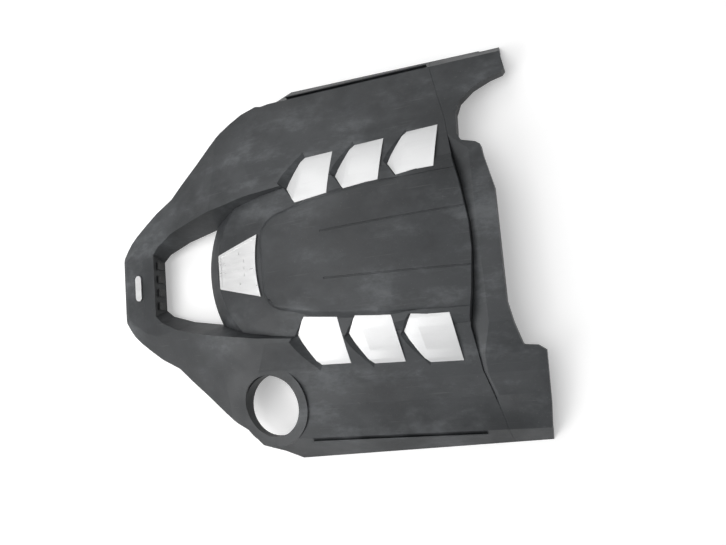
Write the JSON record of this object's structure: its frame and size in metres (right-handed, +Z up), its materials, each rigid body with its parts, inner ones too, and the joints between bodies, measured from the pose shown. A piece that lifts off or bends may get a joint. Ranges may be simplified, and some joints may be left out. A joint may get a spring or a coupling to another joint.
{
  "type": "engine cover",
  "caption": "Vee-engine cover: arched dark plastic frame round an intake opening, raised centre body, satin silver gill inserts, oil filler hole and push-on rubber mounts.",
  "frame": {"origin": "middle of the overall length and width, on the plane of the skirts' lower edges", "axes": "+X towards the rear of the cover, +Y to its left, +Z up"},
  "size_m": [0.672, 0.5633, 0.09],
  "materials": {
    "grained_plastic": "charcoal moulded plastic with a fine grain, slightly dusty",
    "satin_silver": "satin silver paint on plastic",
    "plate_silver": "satin aluminium with a bright border",
    "black_plastic": "plain black moulded plastic",
    "rubber": "matt black rubber",
    "zinc_steel": "zinc-plated steel",
    "foam": "dark open-cell foam"
  },
  "bodies": {
    "root": {"front_frame": "grained_plastic", "centre_body": "grained_plastic", "rear_panel": "grained_plastic", "gill_left_front": "satin_silver", "gill_left_middle": "satin_silver", "gill_left_rear": "satin_silver", "gill_right_front": "satin_silver", "gill_right_middle": "satin_silver", "gill_right_rear": "satin_silver", "badge_plate": "plate_silver", "nose_bar": "plate_silver", "intake_clips": "black_plastic", "grommet_front_left": "rubber", "grommet_front_right": "rubber", "grommet_rear_left": "rubber", "grommet_rear_right": "rubber", "centre_screws": "zinc_steel", "rear_screws": "zinc_steel", "push_nuts": "zinc_steel", "acoustic_pad": "foam"}
  },
  "joints": []
}
